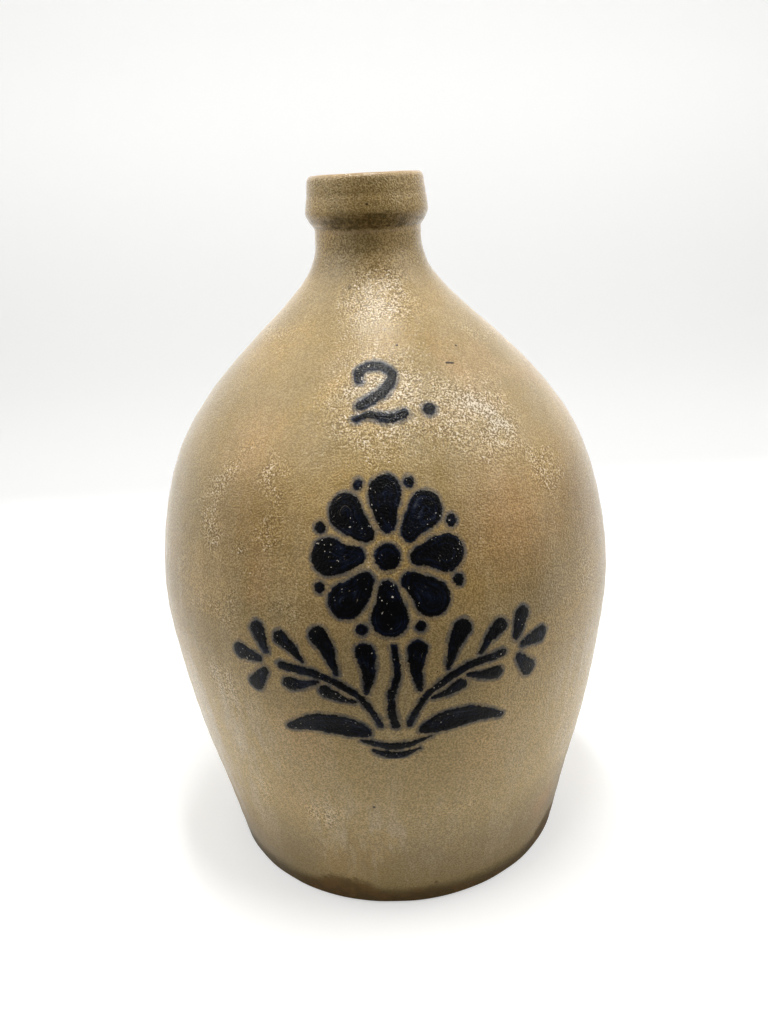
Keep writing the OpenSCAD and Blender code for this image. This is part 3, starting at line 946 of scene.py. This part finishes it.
laid = {
    "lineStep": 0.2 * mm,
    "roughSteps": 40,
    "leafLean": 0.85,
    "headLean": 1.1,
    "grid": 0.5 * mm,
    "margin": 2.6 * mm,
    "apart": 40 * mm,
    "wobble": (0.35 * mm, 9 * mm),
    "rough": (0.2 * mm, 3.2 * mm),
    "seat": 0.035 * mm,
    "rise": 0.16 * mm,
    "domeEdge": 2.2 * mm,
    "tailRise": 0.75,
    "ridge": 0.03 * mm,
    "ridgeDepth": 1.1 * mm,
    "ridgeBreadth": 0.7 * mm,
    "uneven": (0.05 * mm, 4 * mm),
    "dip": 0.13 * mm,
    "dipFade": (1 * mm, 2.4 * mm),
    "sunk": 0.5 * mm,
    "ridgeLoad": 0.1,
    "headLoad": 0.15,
    "edgeFade": (0.2 * mm, 1.9 * mm),
}


# one stroke: its line, and half its width, which grows from the tail to the head or swells in the
# middle of a leaf. The line stops half a width short of both ends
def stroke(size, shares, widest, tail, leaf=False):
    points = np.array(shares) * size
    length = walkAlong(*through(points, np.linspace(0, 1, laid["roughSteps"])).T)[-1]
    s = np.linspace(0, 1, 1 + 2 * int(length / laid["lineStep"]))
    swell = np.sin(np.pi * s ** laid["leafLean"]) if leaf else s ** laid["headLean"]
    half = widest * size / 2 * (tail + (1 - tail) * swell)
    fits = (np.minimum(s, 1 - s) * length >= half) | (s == 0.5)
    return through(points, s[fits]), half[fits], s[fits]


def aroundPoint(centre, r, turn):
    a = math.radians(turn)
    return centre[0] + r * math.cos(a), centre[1] + r * math.sin(a)


def spot(centre, wide):
    return [(centre[0], centre[1] + side * wide / 2) for side in (-1, 1)], wide, 1


def mirrored(points, side):
    return [(side * x, y) for x, y in points]


def blossomStrokes():
    centre, petals, curl = spray["blossom"], spray["petals"], spray["petalCurl"]
    near, far = spray["petalIn"], spray["petalOut"]
    drawn = [spot(centre, spray["eye"])]
    for i in range(petals):
        a = 90 + 360 * i / petals
        line = [aroundPoint(centre, near, a - curl), aroundPoint(centre, (near + far) / 2, a),
                aroundPoint(centre, far, a - curl / 2)]
        between = aroundPoint(centre, far - spray["spot"] / 4, a + 180 / petals)
        drawn += [(line, spray["petalWidth"], spray["petalTail"]), spot(between, spray["spot"])]
    return drawn


def stemStrokes():
    sides = [(mirrored(spray["sideStem"], side), spray["sideTail"]) for side in (-1, 1)]
    drawn = [(spray["stem"], spray["stemTail"])] + sides
    return [(line, spray["stemWidth"], tail) for line, tail in drawn]


# a leaf leaves the stem at a gap, at its turn from the stem's way, and bends back towards the tip
def leafLine(at, turn, length):
    root, ahead = through(spray["sideStem"], np.array([at, at + spray["leafAhead"]]))
    a = math.degrees(math.atan2(*(ahead - root)[::-1])) + turn
    gap, bend = spray["leafGap"], -turn / 4
    return [aroundPoint(root, gap, a), aroundPoint(root, gap + length / 2, a + bend / 2),
            aroundPoint(root, gap + length, a + bend)]


def leafStrokes():
    drawn = [(leafLine(at, turn, length), width, spray["leafTail"])
             for at, turn, length, width in spray["sideLeaves"]]
    for turn in spray["budTurns"]:
        line = [aroundPoint(spray["bud"], reach, turn) for reach in spray["budReach"]]
        drawn.append((line, spray["budWidth"], spray["budTail"]))
    drawn.append((spray["lowLeaf"], spray["lowLeafWidth"], spray["leafTail"], True))
    return [(mirrored(line, side), *rest) for side in (-1, 1) for line, *rest in drawn]


def groundStrokes():
    lines = [[(-half, y + sag), (0, y - sag), (half, y + sag)] for y, half, sag in spray["ground"]]
    return [(line, spray["groundWidth"], spray["groundTail"], True) for line in lines]


def numeralStrokes():
    return [(numeral["hook"], numeral["width"], numeral["hookTail"]),
            (numeral["foot"], numeral["width"], numeral["footTail"]),
            spot(numeral["stop"], numeral["stopWidth"])]


# depth inside the nearest stroke of a group: half the width less the distance to the line. Also
# that stroke's half width, the share of its length, and its length up to there, each stroke
# counted from further on than the last
def strokeField(x, y, strokes):
    fields = np.zeros((4, *x.shape))
    fields[0] = -1
    reach = laid["margin"] * 2
    for index, (line, halfWidth, s) in enumerate(strokes):
        low, high = line.min(0) - halfWidth.max() - reach, line.max(0) + halfWidth.max() + reach
        near = (x > low[0]) & (x < high[0]) & (y > low[1]) & (y < high[1])
        inside = halfWidth - np.hypot(x[near][:, None] - line[:, 0], y[near][:, None] - line[:, 1])
        best = inside.argmax(1)
        depth, along = inside[np.arange(len(best)), best], s[best]
        better = depth > fields[0][near]
        walk = walkAlong(*line.T)[-1] * along + index * laid["apart"]
        for field, found in zip(fields, (depth, halfWidth.max(), along, walk)):
            field[near] = np.where(better, found, field[near])
    return fields


# closed patch over the marked cells of a grid: a top face, a bottom face, and walls at the rim
def patchSkin(name, cells, top, bottom, floats):
    cols = top.shape[1]
    row, col = np.nonzero(cells)
    a = row * cols + col
    lid = np.stack([a, a + 1, a + 1 + cols, a + cols], -1)
    count = top.shape[0] * cols
    faces = [lid, lid[:, ::-1] + count]
    padded = np.pad(cells, 1)
    for edge, (down, across) in enumerate(((-1, 0), (0, 1), (1, 0), (0, -1))):
        bare = ~padded[1 + down:1 + down + cells.shape[0], 1 + across:1 + across + cells.shape[1]]
        rim = lid[bare[cells]]
        start, end = rim[:, edge], rim[:, (edge + 1) % 4]
        faces.append(np.stack([end, start, start + count, end + count], -1))
    used, faces = np.unique(np.concatenate(faces), return_inverse=True)
    points = np.concatenate([top.reshape(-1, 3), bottom.reshape(-1, 3)])[used]
    floats = {key: np.tile(value.ravel(), 2)[used] for key, value in floats.items()}
    return putMesh(name, points, faces.reshape(-1, 4).tolist(), floats)


# cells that only touch at a corner are joined, so that the patch's rim is one clean wall
def withoutCorners(cells):
    cells = cells.copy()
    for _ in range(12):
        a, b, c, d = cells[:-1, :-1], cells[:-1, 1:], cells[1:, :-1], cells[1:, 1:]
        slash, back = a & d & ~b & ~c, b & c & ~a & ~d
        if not (slash.any() or back.any()):
            break
        cells[:-1, 1:] |= slash
        cells[:-1, :-1] |= back
    return cells


# strokes laid on the wall: inside a stroke the slip stands up in a low dome with a ridge near
# its edge, just outside it lies level with the glaze, and at the margin it dips under the wall
def laySlip(design, roundR, groups):
    step, across = laid["grid"], design["across"]
    x, y = np.meshgrid(np.arange(-across, across + step, step), np.arange(*design["up"], step))

    # waves of a depth and a spacing, each with the next seed
    def wavy(size, more):
        return size[0] * waves((x, y), size[1], design["seed"] + more)

    shiftX, shiftY = wavy(laid["wobble"], 0), wavy(laid["wobble"], 1)
    fields = np.stack([strokeField(x + shiftX, y + shiftY,
                                   [stroke(design["height"], *row) for row in rows])
                       for _, _, rows in groups])
    owner = fields[:, 0].argmax(0)
    depth, half, along, walk = np.take_along_axis(fields, owner[None, None], 0)[0]
    depth = depth + wavy(laid["rough"], 2)
    dome = 1 - (1 - np.clip(depth / np.minimum(half, laid["domeEdge"]), 0, 1)) ** 2
    dome = dome * (laid["tailRise"] + (1 - laid["tailRise"]) * along)
    ridge = np.exp(-((depth - laid["ridgeDepth"]) / laid["ridgeBreadth"]) ** 2)
    lift = laid["seat"] + dome * laid["rise"] + ridge * laid["ridge"]
    lift += wavy(laid["uneven"], 3) * ease(0, mm, depth)
    lift -= laid["dip"] * ease(*laid["dipFade"], -depth)
    load = design["fullness"] + laid["ridgeLoad"] * ridge + laid["headLoad"] * along
    load -= design["thinEdge"] * (1 - ease(*laid["edgeFade"], depth))
    z = np.interp(np.interp(design["footZ"], walkZ, walked) + y, walked, walkZ)
    top = onWall(x / roundR, z, lift)
    bottom = onWall(x / roundR, z, -laid["sunk"])
    floats = {"slipDepth": depth / mm, "slipLoad": load, "slipAlong": walk / mm}
    inReach = withoutCorners((depth > -laid["margin"])[:-1, :-1])
    for index, (name, node, _) in enumerate(groups):
        cells = withoutCorners(inReach & (owner[:-1, :-1] == index))
        piece = patchSkin(name, cells, top, bottom, floats)
        finishPiece(piece, slipGlaze, "cobalt_slip", node)
        print("stage:", name, len(piece.data.polygons), "faces")


laySlip(spray, outerR.max(),
        [("slipBlossom", "slip_blossom", blossomStrokes()),
         ("slipStems", "slip_stems", stemStrokes()),
         ("slipLeaves", "slip_leaves", leafStrokes()),
         ("slipGround", "slip_ground", groundStrokes())])
laySlip(numeral, outlineR(numeral["footZ"] + numeral["height"] / 3),
        [("slipNumeral", "slip_numeral", numeralStrokes())])


# strap handle: the section is carried along the middle line that the solid follows, with its
# grooves, and swells where it was pressed onto the neck and the shoulder
strap = {
    "reach": 72 * mm,
    "drop": 76 * mm,
    "tail": 16 * mm,
    "width": 30 * mm,
    "thick": 11 * mm,
    "path": [(-0.19, -0.1), (0.14, 0.03), (0.42, 0.1), (0.75, 0.01), (0.95, -0.27), (1, -0.58),
             (0.95, -0.85)],
    "landing": 0.2,
    "nudge": 1 / 60,
    "size": [(0, 1.4, 1.2), (0.12, 1.28, 1.12), (0.3, 1, 1), (0.7, 1, 1), (0.86, 1.16, 0.86),
             (0.94, 1.2, 0.55), (1, 0.72, 0.2)],
    "section": [(0, 0.94), (0.2, 1), (0.38, 0.84), (0.54, 0.8), (0.7, 0.98), (0.86, 0.86),
                (0.97, 0.42), (1, -0.1), (0.92, -0.6), (0.7, -0.9), (0.34, -1), (0, -1)],
    "rows": 150,
    "around": 96,
    "neckR": 25.5 * mm,
    "neckZ": 316 * mm,
    "pulled": 200 * mm,
    "thinned": (0.05, 50 * mm, 71),
    "narrowed": (0.03, 40 * mm, 73),
    "thumb": (0.93, 0.028, 7 * mm, 1.6 * mm),
    "smear": 0.16,
    "smearReach": 3 * mm,
    "rootDepth": 2 * mm,
    "tailStarts": 0.875,
    "tailProud": 7 * mm,
    "tailSunk": 0.4 * mm,
}


# middle line of the strap, and the way out from it, square to the line
def strapWay(s):
    neckR, neckZ = strap["neckR"], strap["neckZ"]
    landZ = neckZ - strap["drop"]
    tailZ = landZ - strap["tail"]
    line = [(neckR + a * strap["reach"], neckZ + b * strap["drop"]) for a, b in strap["path"]]
    line += [(outlineR(landZ) + strap["landing"] * strap["thick"], landZ), (outlineR(tailZ), tailZ)]
    nudge = strap["nudge"]
    along = through(line, np.minimum(1, s + nudge)) - through(line, np.maximum(0, s - nudge))
    out = np.stack([-along[:, 1], along[:, 0]], -1) / np.linalg.norm(along, axis=1)[:, None]
    return through(line, s), out


# section of the strap, in shares of its half width and half thickness
def strapSection():
    half = np.array(strap["section"])
    loop = np.concatenate([half, half[-2:0:-1] * (-1, 1), half[:1]])
    walk = walkAlong(*loop.T)
    at = np.linspace(0, walk[-1], strap["around"], endpoint=False)
    return flowing(walk, loop[:, 0], at), flowing(walk, loop[:, 1], at)


# near the wall the clay is smeared out sideways, what lies inside the wall stays shallow, and
# the tail stands less proud the further it runs, until it sinks into the wall
def luted(x, y, z, s):
    level = np.clip(z, 0, jugHeight)
    above = np.hypot(x, y) - wallRadius(np.arctan2(y, x), level)
    x = x * (1 + strap["smear"] * np.exp(-np.maximum(above, 0) / strap["smearReach"]))
    wallR = wallRadius(np.arctan2(y, x), level)
    proud = strap["tailProud"] * (1 - s) / (1 - strap["tailStarts"]) - strap["tailSunk"]
    most = np.where(s > strap["tailStarts"], wallR + proud, np.inf)
    radius = np.hypot(x, y)
    push = np.minimum(np.maximum(1, (wallR - strap["rootDepth"]) / radius), most / radius)
    return np.stack([x * push, y * push, z], -1)


# the pull of wet fingers leaves long soft waves along the strap, and a thumb print is pressed
# into the outer face of the tail
def makeStrap():
    s = np.linspace(0, 1, strap["rows"])
    middle, out = strapWay(s)
    across, over = strapSection()
    sizes = np.array(strap["size"])
    x = across * (strap["width"] / 2 * flowing(sizes[:, 0], sizes[:, 1], s))[:, None]
    lift = over * (strap["thick"] / 2 * flowing(sizes[:, 0], sizes[:, 2], s))[:, None]
    s = s[:, None]
    pulled = s * strap["pulled"]
    lift = lift * (1 - humps((x, pulled), *strap["thinned"]))
    x = x * (1 - humps((0, pulled), *strap["narrowed"]))
    at, length, width, depth = strap["thumb"]
    press = np.exp(-((s - at) / length) ** 2 - (x / width) ** 2)
    lift = lift - depth * press * (over > 0)
    y, z = (middle[:, [axis]] + out[:, [axis]] * lift for axis in (0, 1))
    piece = ringSkin("strapHandle", luted(x, y, z, s)[:, ::-1])
    finishPiece(piece, clayGlaze, "salt_glazed_clay", "strap_handle")
    print("stage: handle")


makeStrap()


# stage: white paper that turns up behind the jug. It glows for the camera, at levels that change
# with the height, and for gloss, at levels that grow behind the jug
sweep = {
    "front": -0.172,
    "turn": 0.4,
    "radius": 0.6,
    "rows": 24,
    "top": 2.4,
    "half": 1.6,
    "paper": (0.7, 0.7, 0.693),
    "glow": (1, 1, 0.992),
    "shown": [(0, 0.44), (0.022, 0.215), (0.12, 0.18), (0.5, 0.365)],
    "glossy": [(-0.1, 0), (0.12, 0.32), (1, 0.76)],
}


def whitePaper():
    r = Recipe(bpy.data.materials.new("whitePaper"))
    r.nodes.remove(r.shader)
    place = r.add("ShaderNodeSeparateXYZ", {0: r.coords}).outputs
    asked = r.add("ShaderNodeLightPath").outputs

    # level that follows the stops of place and glow, for the rays that are asked for
    def level(rays, axis, stops):
        low, high = stops[0][0], stops[-1][0]
        ramp = r.add("ShaderNodeValToRGB", {0: r.ease(place[axis], low, high, kind="LINEAR")})
        ramp.color_ramp.interpolation = "EASE"
        while len(ramp.color_ramp.elements) < len(stops):
            ramp.color_ramp.elements.new(1)
        for element, (at, glow) in zip(ramp.color_ramp.elements, stops):
            element.position = (at - low) / (high - low)
            element.color = (glow, glow, glow, 1)
        return r.times(ramp.outputs["Color"], asked[rays])

    strength = level("Is Camera Ray", "Z", sweep["shown"])
    for rays in ("Is Glossy Ray", "Is Transmission Ray"):
        strength = r.plus(strength, level(rays, "Y", sweep["glossy"]))
    diffuse = r.add("ShaderNodeBsdfDiffuse", {"Color": sweep["paper"]})
    emission = r.add("ShaderNodeEmission", {"Color": sweep["glow"], "Strength": strength})
    both = r.add("ShaderNodeAddShader", {0: diffuse.outputs[0], 1: emission.outputs[0]})
    r.give(r.nodes["Material Output"].inputs["Surface"], both.outputs[0])
    return r.owner


def makeSweep():
    bend = np.linspace(0, np.pi / 2, sweep["rows"])
    turn, radius = sweep["turn"], sweep["radius"]
    y = np.concatenate([[sweep["front"]], turn + radius * np.sin(bend), [turn + radius]])
    z = np.concatenate([[0], radius * (1 - np.cos(bend)), [sweep["top"]]])
    count = len(y)
    sides = [np.stack([np.full(count, side * sweep["half"]), y, z], -1) for side in (-1, 1)]
    faces = [(i, i + count, i + 1 + count, i + 1) for i in range(count - 1)]
    floor = putMesh("studioSweep", np.stack(sides), faces)
    floor.data.materials.append(whitePaper())


makeSweep()


# lights: soft boxes above and at the sides, and a weak strip low in front for the light that paper
# throws back. Each is a place, an aim, a size, a power and whether the glaze shows it
studio = {
    "above": ((0.02, -0.06, 1.42), (0, 0, 0.17), (0.13, 0.6), 9.6, True),
    "left": ((-0.95, -0.1, 0.99), (0, 0, 0.17), (1, 0.7), 4.8, True),
    "right": ((0.95, -0.1, 0.99), (0, 0, 0.17), (1, 0.7), 5.3, True),
    "low": ((0, -0.5, 0.03), (0, 0, 0.07), (1.2, 0.2), 0.26, False),
}


def addLight(name, place, aim, size, power, seen):
    data = bpy.data.lights.new(name, "AREA")
    data.shape = "RECTANGLE"
    data.size, data.size_y = size
    data.energy = power
    light = addObject(name, data)
    turn = (Vector(aim) - Vector(place)).to_track_quat("-Z", "Y").to_matrix().to_4x4()
    light.matrix_world = Matrix.Translation(place) @ turn
    light.visible_camera = False
    light.visible_glossy = seen


for name, lamp in studio.items():
    addLight(name, *lamp)


# air round the jug: white for the camera, and pale for light and gloss but for the dark of the
# room in front and of what lies below
air = {"front": 0.04, "around": 0.56, "span": (-0.92, -0.4), "below": (-0.4, -0.05), "shown": 1}


def makeAir():
    bpy.context.scene.world = bpy.data.worlds.new("studioAir")
    r = Recipe(bpy.context.scene.world)
    way = r.add("ShaderNodeTexCoord").outputs["Generated"]
    place = r.add("ShaderNodeSeparateXYZ", {0: way}).outputs
    raised = r.ease(place["Z"], *air["below"], air["front"], air["around"], "LINEAR")
    facing = r.ease(place["Y"], *air["span"], air["front"], raised)
    seen = r.add("ShaderNodeLightPath").outputs["Is Camera Ray"]
    strength = r.add("ShaderNodeMix", {"Factor": seen, "A": facing, "B": air["shown"]})
    r.feed(r.nodes["Background"], {"Strength": strength.outputs["Result"], "Color": (1, 1, 1)})


makeAir()
bpy.context.scene.view_settings.view_transform = "Standard"
print("stage: lights")
